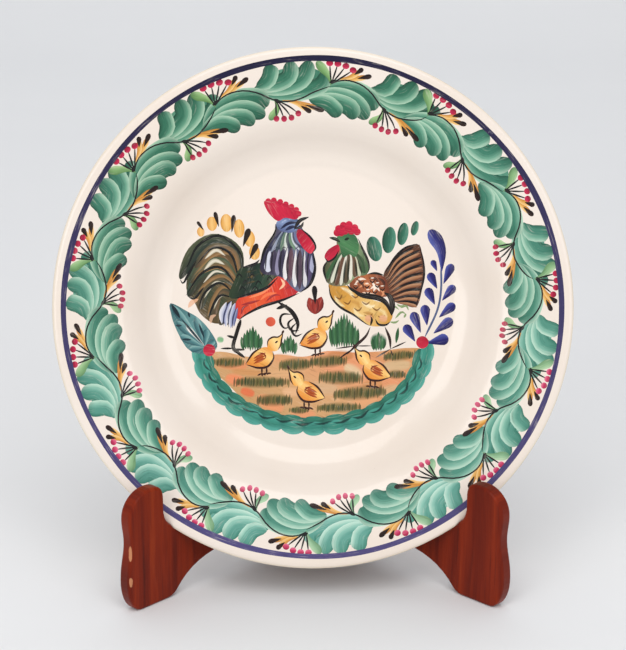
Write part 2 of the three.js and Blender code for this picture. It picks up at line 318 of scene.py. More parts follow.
# The ground under the birds: peach and tan washes with green dashes, and a
# double row of overlapping teal scallops along its curved lower edge.
fill([(-70, -29), (-57, -27), (-39, -30.5), (-22.5, -29), (-5.5, -30.5), (8.5, -27), (24, -28),
    (41, -27.5), (57.5, -25.5), (70, -27), (67, -37), (60, -47), (46, -58), (27.5, -67.5), (8.5, -71.5),
    (-7, -72), (-24.5, -68), (-42.5, -58), (-55, -46), (-65, -37.5)],
    ["c2925c", "dd9468", "d0a070", "c09664"], angle=62)
for a, b, width, tone in [
        [(-62, -34), (-40, -36), 8, "dd8a5a"], [(-55.5, -43), (-42, -46.5), 9, "e8875c"],
        [(-46, -51), (-36.5, -54), 7, "dd6a40"], [(-36, -55.5), (-18, -63.5), 11, "e29264"],
        [(-15, -65.5), (2, -67), 8, "dd9468"], [(8.5, -30), (26, -30), 8, "c07e4c"],
        [(-26.5, -30.5), (-8.5, -33), 7, "d89a6a"], [(19, -36), (30.5, -43), 9, "d9c098"],
        [(42.5, -37), (62, -36), 9, "cdb288"], [(-3.5, -49.5), (16.5, -51.5), 10, "cda880"],
        [(6.5, -38), (20, -39), 7, "e39a70"], [(40.5, -55), (54.5, -49.5), 9, "cfae84"],
        [(-30, -42), (-12, -41.5), 7, "d8a878"], [(-52, -39), (-30, -41), 5, "c98f58"],
        [(24, -58.5), (40, -57.5), 7, "dda070"], [(-20, -52), (-8, -53), 7, "e0b084"],
        [(30, -48.5), (44, -47.5), 6, "c88c58"]]:
    stroke([a, b], width, [tone], "dot", soft=True, strength=0.85)
for a, b, width in [
        [(-63, -33.5), (-43, -34), 7], [(-22, -35.5), (0, -35), 8.4], [(-2, -34), (21, -33), 8],
        [(-50, -46), (-15, -46.5), 7.6], [(3, -43.5), (31, -44), 9.4], [(-36, -57.5), (-13, -57.5), 8],
        [(12, -54.5), (46, -52.5), 9], [(2, -62.5), (30, -62.5), 6.6], [(44, -31), (64, -29.5), 6.6],
        [(-15, -64), (-3, -64), 5], [(46, -42), (58, -42), 6]]:
    stroke([a, b], width * 1.12, ["6a6234", "4a5428", "5a532c"], "dot", soft=True, strength=0.8)
    hatch(a, b, width * 0.85, ["3c4a24", "2c3f22", "5c5a2c", "47421f"])
stroke([(68 * math.cos(a), -25 + 47.4 * math.sin(a)) for a in np.linspace(3.32, 6.1, 12)], 7, ["1f5a4e"],
    "line")
scallops(centre=(0, -25), reach=(66.6, 45.8), count=15, size=(11.4, 7.8),
    tones=["123f36", "2f7a66", "2a705e", "3a8f7c"], first=190, last=350)
scallops(centre=(0, -25), reach=(71, 49.8), count=17, size=(12.4, 8.8),
    tones=["17504a", "449687", "31806f", "57a79a"], first=184, last=356)
for i in range(16):
    a, b, c = (math.radians(187 + 10.3 * (i + share)) for share in (0, 0.5, 1.15))
    near, far = wobble.uniform(-0.9, 0.9), wobble.uniform(-0.9, 0.9)
    stroke([(68.4 * math.cos(a), -25 + (47.2 + near) * math.sin(a)),
        (69.6 * math.cos(b), -25 + (48.6 + far) * math.sin(b)),
        (67 * math.cos(c), -25 + (46 + near) * math.sin(c))], wobble.uniform(1.5, 2.5), ["0f3632"],
        soft=True)

# The broad blue-green leaf on the left, with a white rib and a red berry.
fill([(-89, 3.5), (-78, -2), (-71.5, -6), (-65, -13), (-60, -22), (-62, -26.5), (-69.5, -28.5),
    (-78, -25.5), (-83, -18), (-86.5, -10.5), (-88.5, -4)], ["35656a", "5c8c8c", "2c5a60"], angle=-45)
for tip, width in [((-88, 2), 5), ((-85, -8), 5.4), ((-83, -17), 5.2), ((-77, -25.5), 4.6),
        ((-73.5, -5.5), 4.6), ((-66.5, -13), 4.6), ((-61.5, -20), 4.2)]:
    stroke([(-68, -24.5), tip], width, ["1f444c", "44777c", "8ab4b0"], "comma", strength=0.85)
stroke([(-67.5, -24), (-73.5, -17), (-79.5, -10.5)], 3.4, ["f0ece4"], "comma", soft=True)
for a, b in [
        [(-68.5, -23), (-83, -5.5)], [(-83, -5.5), (-87.5, 2)], [(-77, -5.5), (-78, -2)],
        [(-82, -10.5), (-86, -10.5)], [(-68, -18.5), (-71.5, -9)], [(-76, -19.5), (-82, -19)]]:
    stroke([a, b], 1.5, ["152f38"])
stroke([(-83, -6), (-88.5, 3)], 2.4, ["10222a"])
dot((-65, -26), 7.6, ["a80f2c", "c42440"])
dot((-58, -19.5), 4.6, ["5e9a68", "86b98a"], soft=True)

# Grass between the birds.
grass((-38.5, -26), 12.5, 16.5, 8)
grass((-15, -28.5), 9, 13.5, 6)
grass((19.5, -25), 17.5, 24, 11)
dot((41, -21), 11, ["2c5c42", "3f7450"], soft=True)
grass((41, -26.5), 8, 12, 5)
stroke([(52, -22.5), (53.5, -12.5)], 2.2, ["2c5a34"])

# The rooster: sickle tail, dark back, red belly, striped neck, red comb.
fill([(-44, 10), (-44.5, 26), (-50, 36), (-60, 40), (-70, 35.5), (-77, 24), (-79, 12), (-74, 4),
    (-70.5, -3), (-64, -8.5), (-58, -9.5), (-53, -8), (-48, 2)],
    ["4a3a22", "7a5c38", "33402c", "5a4628"], angle=50)
for points, width, tones in [
        [[(-46.5, 6.5), (-57, 11.5), (-61.5, 2), (-63.5, -7.5)], 5.6, ["6a5238", "2b3a2c"]],
        [[(-45.5, 11.5), (-57, 18.5), (-67.5, 11.5), (-70.5, -0.5)], 6.2, ["27382c", "6e5a3c"]],
        [[(-45, 11.5), (-58, 22), (-71, 18.5), (-78, 7.5)], 6.6, ["3b3324", "2e4a38"]],
        [[(-44.5, 13.5), (-55.5, 29), (-69.5, 25.5), (-76.5, 16)], 6.2, ["7a6344", "37503a"]],
        [[(-43.5, 16), (-48.5, 36.5), (-64, 38.5), (-73.5, 25.5)], 6.4, ["8a6a4a", "2c4232"]],
        [[(-43.5, 18.5), (-46, 36.5), (-60.5, 44), (-73.5, 36.5), (-83, 18.5)], 7, ["1f2f2a", "4c5238"]],
        [[(-48, 5.5), (-54.5, 2), (-58, -10.5)], 5, ["2c3a30", "75603f"]],
        [[(-48.5, 3), (-52.5, -3), (-54.5, -10.5)], 4, ["4c4a36", "8a7552"]]]:
    stroke(points, width * 1.12, tones, "comma", pool="1a1d16")
for points in [
        [(-46, 9), (-56, 13.5), (-62.5, 6), (-66, -5)], [(-46, 13), (-57, 20.5), (-68.5, 14), (-73, 3)],
        [(-45.5, 15), (-55, 26), (-70, 22), (-76.5, 12)],
        [(-45, 17.5), (-50, 33.5), (-62.5, 33), (-74, 21)]]:
    stroke(points, 2.2, ["a07a4c", "7c5c36"], strength=0.8)
for points, width in [
        [[(-54.5, 33), (-60.5, 36.5), (-67.5, 31)], 2.6], [[(-55, 27.5), (-61.5, 30), (-68, 24)], 3],
        [[(-54.5, 22), (-61.5, 23), (-68.5, 16)], 1.8], [[(-55, 16), (-61.5, 16), (-68, 6.5)], 1.6],
        [[(-54.5, 8.5), (-59, 6.5), (-62, -0.5)], 1.4], [[(-55, 2), (-57.5, -3), (-58, -7.5)], 1.4]]:
    stroke(points, width * 0.9, ["c9c2a6", "efe8d8", "b9b294"], strength=0.8)
stroke([(-71.5, 6), (-75.5, 4), (-78, 0.5)], 3, ["e0aa84"], strength=0.8)
stroke([(-60.5, -4), (-63.5, -5.5), (-64, -9.5)], 2.4, ["dfb493"], strength=0.7)
for points in [
        [(-44, 18.5), (-45, 34), (-58, 45.5), (-71.5, 39.5), (-78, 27), (-83.5, 19)],
        [(-83, 18.5), (-81, 16), (-78, 21), (-72.5, 30.5)],
        [(-45.5, 13.5), (-50.5, 33), (-62, 38), (-73, 27)],
        [(-46, 11.5), (-57, 25.5), (-69.5, 22), (-79.5, 8)],
        [(-48.5, 8.5), (-58, 16), (-67.5, 10), (-71.5, 0.5)],
        [(-49.5, 6.5), (-58, 8), (-63.5, -0.5), (-65, -7)], [(-50.5, 5), (-56, 0), (-58.5, -9.5)],
        [(-78, 7.5), (-74, 6.5), (-68, 13.5)]]:
    stroke(points, 1.7, ["0f120f"])
fill([(-45.5, 25), (-36.5, 27.5), (-29.5, 29), (-21.5, 25.5), (-19, 21), (-23.5, 18), (-29.5, 13),
    (-39, 9), (-49, 6), (-52.5, 8.5), (-49, 17.5)], ["4a4228", "24402e", "14261d", "2b3c26"], angle=-20)
for points in [[(-43.5, 22), (-34, 24.5)], [(-42.5, 18.5), (-32, 22)], [(-43.5, 15), (-34, 17.5)],
        [(-40, 23.5), (-36.5, 16)], [(-34, 25.5), (-29.5, 17.5)]]:
    stroke(points, 1.3, ["7c6238"], soft=True, strength=0.55)
for x, y in [(-46, 20), (-42, 16), (-38, 20), (-34, 15.5), (-30, 21), (-27, 18), (-44, 12), (-36, 12)]:
    stroke([(x - 2, y - 1.4), (x, y + 1.6), (x + 2.2, y - 1)], 1.1, ["0c1410"])
fill([(-21.5, 20), (-13, 18.5), (-8, 13), (-11, 8.5), (-19, 5), (-29.5, 2), (-39, -1.5), (-45, -6.5),
    (-48, -5.5), (-48.5, 2), (-45.5, 7), (-36.5, 10), (-29.5, 13)],
    ["a81c30", "d23a24", "dd5a30", "c83024"], angle=15)
for points, tone, width in [
        [[(-45, 2), (-39, 3.5), (-33, 5)], "8d1f28", 1.6],
        [[(-33, 5), (-28.5, 8.5), (-22.5, 9.5)], "f07a4a", 2],
        [[(-20, 18.5), (-18, 15), (-21, 11.5)], "f6c8a0", 1.7],
        [[(-29.5, 4), (-24.5, 8), (-20, 8)], "8f2228", 1.3],
        [[(-45, -4), (-43.5, 0.5), (-40, 2)], "7c1826", 1.4],
        [[(-40, 6.5), (-32, 9.5), (-26, 13)], "f2895a", 1.6],
        [[(-17.5, 11.5), (-14, 13.5), (-10.5, 13)], "a62a30", 1.5]]:
    stroke(points, width, [tone], strength=0.85)
for points, width, tones in [
        [[(-54, 4), (-57, -3), (-57, -9.5)], 3.4, ["8f98b8", "e6e4e6"]],
        [[(-51, 4.5), (-54, -4), (-54.5, -11.5)], 3.6, ["e9e7e8", "7b86b4"]],
        [[(-48.5, 3.5), (-51, -4), (-51.5, -12.5)], 3.6, ["6f7aa8", "d4d6e2"]],
        [[(-47, 0.5), (-49, -6.5), (-49.5, -11.5)], 2.4, ["4a5080", "9aa2c4"]]]:
    stroke(points, width, tones)
for points in [[(-52.5, 4), (-55.5, -4), (-56, -11)], [(-49.8, 3.5), (-52.5, -4), (-53, -12)],
        [(-47.6, 1), (-50, -6), (-50.4, -12.5)]]:
    stroke(points, 1.1, ["20244a"], strength=0.9)
fill([(-22, 53.5), (-8.5, 52.5), (-4, 43.5), (0.5, 34.5), (0.5, 24.5), (-1.5, 15.5), (-7.5, 10),
    (-13, 13), (-18, 18.5), (-24.5, 20.5), (-31, 21.5), (-33, 25.5), (-31, 33), (-27, 40), (-23.5, 47)],
    ["2c3048", "686c84", "5c5a6e", "443f52", "2c2838"], angle=0)
for top, bottom, tone, width in [
        [(-28.6, 35), (-31.6, 24), "2b2740", 4], [(-26.4, 37), (-28, 22.5), "d3d6e2", 4.4],
        [(-23.6, 37.5), (-25, 21), "3a3348", 4], [(-20.8, 38), (-22, 20.5), "8b86a0", 3],
        [(-18.4, 38), (-19.6, 19), "2e2a40", 4], [(-15.6, 38), (-17.2, 17.5), "e6e4e2", 3],
        [(-13.2, 38), (-14.4, 16), "5a3a44", 4.4], [(-10.2, 37.5), (-11.2, 13), "e2e0de", 2.8],
        [(-7.8, 37), (-8.2, 11.4), "4a3440", 4.4], [(-4.8, 36.5), (-4.8, 13), "d8d6d8", 2.8],
        [(-2.6, 35), (-2, 16), "4c3f60", 4], [(-0.6, 33), (0, 22), "a9abc4", 2.6]]:
    stroke([top, ((top[0] + bottom[0]) / 2 - 0.4, (top[1] + bottom[1]) / 2), bottom], width * 1.12,
        [tone, tone], "comma" if tone > "8" else "leaf", strength=0.9)
for bottom, tone, width in [
        [(-29, 34.5), "2c2e48", 3.6], [(-26, 35), "8d96a8", 2.8], [(-23, 35), "31404a", 3.4],
        [(-20, 35.5), "5f7a66", 3], [(-17, 36), "cfd6cc", 2.4], [(-14, 36), "2f3a44", 3.4],
        [(-11, 36), "6c8a70", 3], [(-8, 36), "c4cad0", 2.4], [(-5, 37), "33304c", 3.4],
        [(-3, 38), "6d7496", 2.6]]:
    stroke([(-15.5 + (bottom[0] + 15.5) * 0.3, 48), ((-15.5 + bottom[0] * 1.2) / 2.2, 42), bottom],
        width * 1.1, [tone, tone], strength=0.9)
for bottom in [(-29.6, 23), (-26, 21.5), (-20.6, 19.6), (-15.8, 16.4), (-9.6, 12.5), (-6.4, 12.5),
        (-3.4, 15)]:
    stroke([(bottom[0] + 1.6, 37), (bottom[0] + 0.4, 30), bottom], 1.1, ["14101e"], strength=0.9)
for start in (-27.5, -22.5, -18, -13.5, -9, -5):
    stroke([(start - 1.6, 36.6), (start, 38.4), (start + 1.8, 37)], 1, ["1a1826"], soft=True)
for points in [
        [(-22, 53.5), (-24, 46), (-30, 36.5), (-33, 26)],
        [(0.5, 35), (1.5, 24.5), (-1.5, 15), (-8, 9.5)],
        [(-8, 9.5), (-19, 5), (-32, 1), (-42, -4), (-47, -8)],
        [(-49, 6), (-39, 9), (-28.5, 13), (-21.5, 19.5)], [(-44, 25.5), (-36.5, 27.5), (-33, 30.5)]]:
    stroke(points, 1.9, ["0e0c12"])
fill([(-22.5, 53.5), (-18, 56.5), (-11.5, 57), (-8, 53.5), (-9.5, 49), (-14.5, 47), (-21, 49)],
    ["3c4c74", "7f92b8", "46527c"], angle=70)
stroke([(-20, 49.5), (-15, 53), (-9.5, 53.5)], 2, ["171d3c"])
stroke([(-17, 48.6), (-13.5, 50.6), (-10, 51)], 2.2, ["1a2244"])
stroke([(-20.5, 52.5), (-16, 55.2), (-12, 55.6)], 1.4, ["a8b8d4"], soft=True)
fill([(-30, 67), (-24.5, 68), (-18, 65.5), (-12.5, 63.5), (-8, 60), (-10, 55.5), (-17, 56.5),
    (-21.5, 54.5), (-26, 58), (-29, 62.5)], ["a80f30", "c81c3e", "b81636"], angle=30)
for place in [(-27.5, 67), (-24, 67.5), (-20, 66.5), (-16.5, 65), (-13, 63.5), (-10, 61.5), (-8.5, 59)]:
    dot(place, 3.6, ["c41a3c", "b01434"])
for points in [[(-26.5, 65), (-22.5, 60)], [(-22.5, 65), (-19, 59.5)], [(-18, 63.5), (-15, 59)],
        [(-14, 62), (-12, 58)]]:
    stroke(points, 1.1, ["8e1232"], soft=True, strength=0.8)
stroke([(-2, 57), (-8, 54.5), (-11.5, 49)], 2.4, ["0e0c12"])
stroke([(-11, 49.5), (-7, 51), (-5.5, 54)], 1.9, ["0e0c12"])
fill([(-8.5, 49.5), (-4, 47), (0.5, 41.5), (1.5, 37), (-1, 34), (-4.5, 36), (-8.5, 41.5), (-10, 46)],
    ["d02c44", "b81434", "980e2a"], angle=-40)
stroke([(-7.5, 50), (-1, 44), (2, 38), (-0.5, 34)], 1.4, ["150a10"])
stroke([(-45, -7), (-48, -16), (-50, -24.5), (-45.5, -28.5)], 2.4, ["120e0b"], "line")
for points, width in [
        [[(-49.5, -25), (-58, -25)], 1.3], [[(-50, -25.5), (-42.5, -26)], 1.5],
        [[(-49, -26.5), (-42.5, -31)], 2], [[(-48.5, -18.5), (-54, -17)], 1.8],
        [[(-23, 4.5), (-14, -1.5), (-9.5, -9.5), (-11, -16.5)], 2.8],
        [[(-13, -4), (-19, -4), (-20.5, -8.5), (-18, -12.5), (-14, -11.5)], 1.6],
        [[(-11.5, -6), (-15.5, -9.5), (-13.5, -14), (-8.5, -14)], 1.6],
        [[(-10, -9), (-13.5, -13), (-11, -17.5), (-6.5, -16)], 1.5], [[(-16, 2), (-23, -0.5)], 2.4],
        [[(-19, 3.5), (-20, 0.5)], 1.6]]:
    stroke(points, width, ["120e0b"])
for (x, y), width, length in [[(-71, 48), 4.2, 5.4], [(-64, 53), 5.8, 8], [(-55, 53.5), 6.6, 10],
        [(-47, 50), 6, 10.4], [(-40.5, 43.5), 6, 9], [(-37.5, 35), 6, 8.4]]:
    stroke([(x + 0.9, y + length * 0.56), (x + 1.5, y - length * 0.56)], width * 1.12,
        ["d99a3e", "eec27a", "cf9036"], "dot")
for points, width in [
        [[(-68, 49), (-72, 54.5)], 2.2], [[(-58.5, 51), (-61, 60.5)], 2.8],
        [[(-50.5, 47.5), (-49, 58.5)], 3.2], [[(-43.5, 38.5), (-39.5, 50)], 4],
        [[(-39.5, 30.5), (-34.5, 40.5)], 3.6]]:
    stroke(points, width, ["120c08", "2a1a10"], "comma")

# The hen: fan tail, brown wing, ochre body, striped neck, red comb.
fill([(44.5, 21), (50.5, 30), (57.5, 37), (66.5, 39.5), (69, 30.5), (69.5, 18.5), (67.5, 6.5), (64.5, 0),
    (57.5, 1.5), (50.5, 4), (46.5, 11.5)], ["3e2216", "6a402a", "4e2e1e"], angle=-60)
for foot, bow, tip in [
        [(45.4, 19.6), (52, 30.6), (63.5, 38)], [(46, 17.6), (54, 28.6), (67.4, 36)],
        [(46.4, 15.4), (55.6, 25.6), (68.4, 31.6)], [(46.8, 13.2), (56.6, 22), (68.9, 27)],
        [(47.2, 11), (57.4, 18.2), (69.2, 21.8)], [(47.8, 8.8), (58, 14.4), (69, 16.6)],
        [(48.6, 6.8), (58.4, 10.6), (68.4, 11.4)], [(49.8, 5), (58.6, 7), (67.4, 6.6)],
        [(51.6, 3.8), (59, 3.8), (65.6, 2.4)]]:
    stroke([(foot[0] + 1, foot[1] - 1), (bow[0] + 0.8, bow[1] - 1.7), (tip[0] - 0.2, tip[1] - 2.2)], 2.2,
        ["c4936c", "8a5636"], "comma", strength=0.85)
    stroke([foot, bow, tip], 1.7, ["120a08"], "comma")
stroke([(44.5, 20.5), (51.5, 31), (58.5, 37.5), (66.5, 39.5)], 1.6, ["120a08"])
stroke([(67, 39.5), (69.5, 28), (69.5, 17.5), (64.5, 0)], 1.4, ["120a08"])
for points in [
        [(48.5, -4), (51, 0.5), (54, -1.5)], [(51.5, -7), (55.5, -3), (58.5, -4.5)],
        [(55, -0.5), (58.5, 1), (60, -2)], [(52.5, 2), (55.5, 0.5), (57.5, 2)],
        [(48, -9), (51.5, -9.5), (54, -8)], [(57, -6.5), (58.5, -4)]]:
    stroke(points, 1.4, ["6f8f52"], strength=0.9)
fill([(10, 15), (16, 14.5), (22, 13.5), (28.5, 10), (37, 5), (47, 1.5), (50, -5.5), (45.5, -11),
    (36, -11.5), (29, -6.5), (20.5, -2), (14.5, 2), (11.5, 8)], ["c88f36", "e4c078", "cf9840", "b88230"],
    angle=-30)
for points, tone in [
        [[(14.5, 11.5), (18, 6.5), (21.5, 8)], "b4873a"], [[(17, 13), (23, 10), (26.5, 5.5)], "f3e3b8"],
        [[(23, 4), (27.5, 3), (30, -1)], "c08c40"], [[(30, 4), (36, 0.5), (39.5, 2)], "f3e3b8"],
        [[(31, -3), (36, -4), (38.5, -7.5)], "b98744"],
        [[(39.5, -0.5), (44.5, -3), (46.5, -7.5)], "e9cf94"],
        [[(13.5, 8), (16, 3), (20.5, 0.5)], "e9d6a2"],
        [[(25.5, 0.5), (27.5, -4), (32.5, -5.5)], "f0dca8"]]:
    stroke(points, 3.4, [tone], soft=True, strength=0.95)
for points in [
        [(14, 7), (17, 5.5), (18.5, 8.5)], [(19, 4), (22, 2.2), (24, 5)],
        [(24, 8), (27, 6.2), (29, 8.4)], [(25.5, 0), (28.5, -2), (31, 0.6)],
        [(30.5, 4), (33.5, 2), (36, 4)], [(32, -4.4), (35, -6), (37.5, -3.6)],
        [(37, 0.4), (40, -1.8), (42.5, 0.2)], [(40.5, -5), (43, -6.6), (45.4, -4.6)]]:
    stroke(points, 1.1, ["6e4214"], strength=0.85)
for place, tone in [((35, -7), "e5b089"), ((44, -7), "e5b089")]:
    dot(place, 5.6, [tone, "d89c6c"], soft=True)
fill([(23, 15), (28, 19.5), (36, 21), (44.5, 19.5), (47, 13.5), (47.5, 7.5), (41, 6.5), (32.5, 7.5),
    (25.5, 10.5)], ["6a3220", "ac6238", "7a4028"], angle=20)
for points, tone in [
        [[(26.5, 15), (30, 18), (33.5, 17.5)], "f0dcc8"], [[(29, 12.5), (33.5, 15), (37, 13)], "dc9a6c"],
        [[(35, 18.5), (39.5, 18), (41, 15)], "4c2618"], [[(36, 11.5), (39.5, 13.5), (42, 10)], "f4e4d4"],
        [[(31, 9.5), (36, 8.5), (39.5, 8)], "efd2b8"], [[(41, 18.5), (44.5, 16), (45, 12.5)], "3c1e14"],
        [[(27.5, 18), (31, 15), (32, 11.5)], "5a2c1c"], [[(42, 11.5), (44.5, 9), (43, 7)], "d99468"],
        [[(37, 16), (39, 13), (38, 10)], "f6ead8"]]:
    stroke(points, 1.7, [tone], strength=0.9)
for x, y in [(27, 13.6), (30.5, 16.6), (34, 14), (37.4, 17.4), (40.6, 14.4), (34.6, 10.2), (39, 10.6),
        (43.6, 12.4)]:
    stroke([(x - 1.8, y), (x, y - 1.8), (x + 1.8, y + 0.2)], 1.1, ["2a120a"])
    stroke([(x - 1.2, y + 1), (x + 1.2, y + 1.2)], 0.9, ["f4e2d0"], strength=0.85)
stroke([(23, 13), (30, 8), (41, 6), (46.5, 2), (49.5, -5.5)], 3.6, ["120d0b"])
stroke([(44.5, 9.5), (48.5, 6.5), (50, 0.5), (49.5, -5)], 3.6, ["1a110d"])
fill([(16, 43.5), (27, 42.5), (30.5, 37.5), (34, 30.5), (35.5, 25), (33.5, 20.5), (27.5, 19.5),
    (22, 14.5), (14.5, 13.5), (9, 16), (7, 23.5), (9, 29.5), (15, 33.5)],
    ["355a36", "8a9a74", "7a6e54", "3a4a2c"], angle=0)
for bottom, tone, width in [
        [(8.5, 18), "2f5a36", 3.6], [(11.5, 15.5), "d2d4c0", 2.4], [(14.5, 14), "5c3a2a", 3.4],
        [(17.5, 14), "d8d6c6", 2.4], [(20.5, 15), "4a3a28", 3.4], [(23.5, 17), "dedaca", 2.2],
        [(26.5, 19), "5c3a2a", 3.4], [(29.5, 19.5), "c8caae", 2.2], [(32.5, 21.5), "2c4a2c", 3.8]]:
    stroke([(15 + bottom[0] * 0.36, 34.5), (9 + bottom[0] * 0.66, 29), bottom], width, [tone, tone],
        "brushful", strength=0.9)
for bottom in [(10, 16.5), (13, 14.5), (19, 14.5), (22, 16), (28, 19), (31, 20.5)]:
    stroke([(9 + bottom[0] * 0.62, 30), bottom], 1.2, ["14200f"], strength=0.9)
fill([(15, 43.5), (18, 46), (24, 47), (28, 43.5), (29, 36.5), (26.5, 31.5), (23, 33.5), (19, 31.5),
    (17, 38.5)], ["2c5a38", "4a8050", "24502f"], angle=60)
for points in [
        [(10, 30.5), (7, 24.5), (9, 15.5)],
        [(28.5, 43.5), (31.5, 36.5), (34.5, 30), (35.5, 25), (34.5, 21.5)],
        [(10, 15), (11.5, 7), (17, 0.5), (25.5, -4.5), (33, -10), (36, -11.5)],
        [(21.5, 14.5), (24, 11.5), (30, 7.5)], [(36, -11.5), (37, -7.5), (36, -5.5)],
        [(39, -7), (41, -10.5), (45.5, -11), (48.5, -9)], [(34.5, 21), (39.5, 21.5), (45, 20)]]:
    stroke(points, 1.5, ["15120c"])
stroke([(20, 42.4), (23, 43.6)], 1.8, ["14281a"])
stroke([(10.5, 44), (14.5, 43), (17.5, 41)], 2.2, ["1c2c1c"])
for place in [(15.5, 47), (16.5, 49.5), (19.5, 51.5), (23, 52), (26.5, 50), (28, 47.5), (24.5, 48),
        (20.5, 48), (18, 47), (22.5, 50)]:
    dot(place, 4.6, ["c81c3e", "ac1232"])
fill([(16, 39.5), (17, 36), (14.5, 32), (10, 29), (7.5, 32), (9.5, 36), (13, 38.5)],
    ["c81f3c", "a01030"], angle=-50)
stroke([(16.5, 36), (14, 31.5), (10, 29), (7.5, 31.5)], 1.3, ["1c1214"])
for points, width in [
        [[(36, -12), (33, -18), (26.5, -24), (21, -29.5)], 1.8], [[(26.5, -24), (14, -25.6)], 0.9],
        [[(24.5, -26), (16, -32)], 1.1], [[(37, -24), (26.5, -24)], 0.8],
        [[(45, -12), (48, -19.5), (48.5, -26.5)], 1.8], [[(48.5, -26), (58.5, -21.5)], 1],
        [[(48.5, -26), (39, -31.5)], 1.1], [[(48.5, -26.5), (50, -30.5)], 0.9]]:
    stroke(points, width, ["2a1712"])
for a, b, width in [[(37, 44.5), (40.5, 29), 9.4], [(49, 50.5), (47, 34), 8.6],
        [(58, 53), (55.5, 39), 6.8], [(65.5, 54), (63, 45), 4.6]]:
    stroke([a, b], width, ["4f8a74", "2c6650", "16402f"], "dot")

# The blue spray on the right, with its red berry.
stroke([(80.5, 26), (80.5, 11.5), (78, -2), (70, -19)], 1.3, ["4a5a80"], "line")
stroke([(81, 22), (80.5, 36), (73.5, 48.5)], 8.6, ["5661a8", "262670", "1a1652"], "comma")
for tip, base, width in [
        [(75, 29.5), (78, 22.5), 3.8], [(73, 21.5), (78, 11.5), 5.4], [(71.5, 12), (76.5, 1.5), 5.8],
        [(70, 1.5), (71.5, -11.5), 6], [(62.5, -3), (67.5, -16), 6], [(57.5, -11), (64, -21.5), 5.8],
        [(87.5, 27), (82, 14.5), 5.4], [(89, 13.5), (81, 4), 5.4], [(89, 2), (79, -6.5), 5.8],
        [(87.5, -7.5), (75.5, -16.5), 6.4], [(85, -19.5), (71.5, -22.5), 7]]:
    stroke([base, tip], width * 1.06, ["4c56a2", "211f6a", "17134e"], "comma")
dot((68.5, -22), 7.8, ["a80f2c", "c42440"])

# A dark red bud and an orange dot in the gap between the birds.
for points, width in [[[(1.5, -4), (-2.5, 6.5)], 5.2], [[(1.5, -4), (5.5, 7)], 5.2],
        [[(1.5, -3.5), (1.5, 6.5)], 3.8]]:
    stroke(points, width * 1.25, ["7a1c1a", "a4382c", "541010"])
stroke([(1.5, 2), (1, 14)], 3.6, ["0e090a"], "comma")
stroke([(-26.5, -5.5), (-26.5, -11.5)], 6.2, ["d85f42", "c44630"], "dot")

# Four chicks, each outlined in brown over a yellow wash.
for body, head, facing in [((-33, -30.5), (-24.5, -22.5), 1), ((0.5, -18.5), (7, -10), 1),
        ((-2, -52), (-10, -44.5), -1), ((39.5, -39), (31.5, -31.5), -1)]:
    chick(body, head, facing)

# ---- The plate ---------------------------------------------------------------
# One piece of pressed clay: a flat middle, a steep wall, a wide rim with a
# rounded lip, and a turned foot ring, under a cream tin glaze all over but the
# foot ring's bare resting edge. A dark blue line runs round the rim.
CREAM = "e7ddd2"
face_knots = [(0, 9.5), (45, 9.5), (84, 9.5), (90, 10), (97, 12.6), (103.5, 17), (109, 21.8),
    (114.5, 25.8), (121, 28.8), (138, 32.3), (152, 34.6), (157, 35.3), (159, 34.9), (160, 34.1)]
face_curve, _ = smooth(face_knots, 900)
FACE_EDGE = 158.8
LINE_RADIUS = 152.7
LINE_HALF_WIDTH = 1.66
RIM_STEPS = 360


def face_height(radius):
    return np.interp(radius, face_curve[:, 0], face_curve[:, 1])


def face_slope(radius):
    return (face_height(radius + 0.4) - face_height(radius - 0.4)) / 0.8


def paint_blue_line():
    """A ring too long for one stroke: its edges waver a little, like a brush on a wheel."""
    turns = np.linspace(0, 2 * np.pi, 241)[:-1]
    middle = LINE_RADIUS + 0.2 * np.sin(3 * turns + 1) + 0.2 * np.sin(7 * turns)
    half = LINE_HALF_WIDTH + 0.14 * np.sin(5 * turns + 2) + 0.1 * np.sin(13 * turns)
    ring = np.stack([np.sin(turns), np.cos(turns)], axis=1)
    return ring * (middle - half)[:, None], ring * (middle + half)[:, None]


line_inside, line_outside = paint_blue_line()
rim_turns = np.arange(RIM_STEPS) * 2 * np.pi / RIM_STEPS
rim_loop = FACE_EDGE * np.stack([np.sin(rim_turns), np.cos(rim_turns)], axis=1)

points = [rim_loop, line_inside, line_outside]
loops = [np.arange(RIM_STEPS)]
start = RIM_STEPS
for loop in (line_inside, line_outside):
    loops.append(start + np.arange(len(loop)))
    start += len(loop)
open_paths = []
for item in painting:
    loops.append(start + np.arange(len(item["outline"])))
    points.append(item["outline"])
    start += len(item["outline"])
    for rib in item["ribs"]:
        open_paths.append(start + np.arange(len(rib)))
        points.append(rib)
        start += len(rib)
rings = [*np.arange(3.2, 90, 3.2), 92.5, 95, 97, 99, 101, 103, 105, 107, 109, 111, 113, 115, 117.5,
         120.5, 124, 128, 132, 136, 140, 144, 148, 150, 155, 156.6, 157.8]
for i, radius in enumerate(rings):
    count = max(8, int(2 * math.pi * radius / (3.2 if radius < 90 else 3.6)))
    a = (np.arange(count) + 0.5 * (i % 2)) * 2 * np.pi / count
    points.append(radius * np.stack([np.sin(a), np.cos(a)], axis=1))
points = np.vstack(points)
edges = [(int(a), int(b)) for loop in loops for a, b in zip(loop, np.roll(loop, -1))]
edges += [(int(a), int(b)) for path in open_paths for a, b in zip(path, path[1:])]
cut = delaunay_2d_cdt([Vector(p) for p in points], edges, [], 0, 1e-4, False)
flat = np.array([(p.x, p.y) for p in cut[0]])
faces = np.array([f for f in cut[2] if len(f) == 3])
corners = flat[faces]
area = 0.5 * np.cross(corners[:, 1] - corners[:, 0], corners[:, 2] - corners[:, 0])
faces = faces[np.abs(area) > 1e-9]
corners = flat[faces]
centres = corners.mean(axis=1)


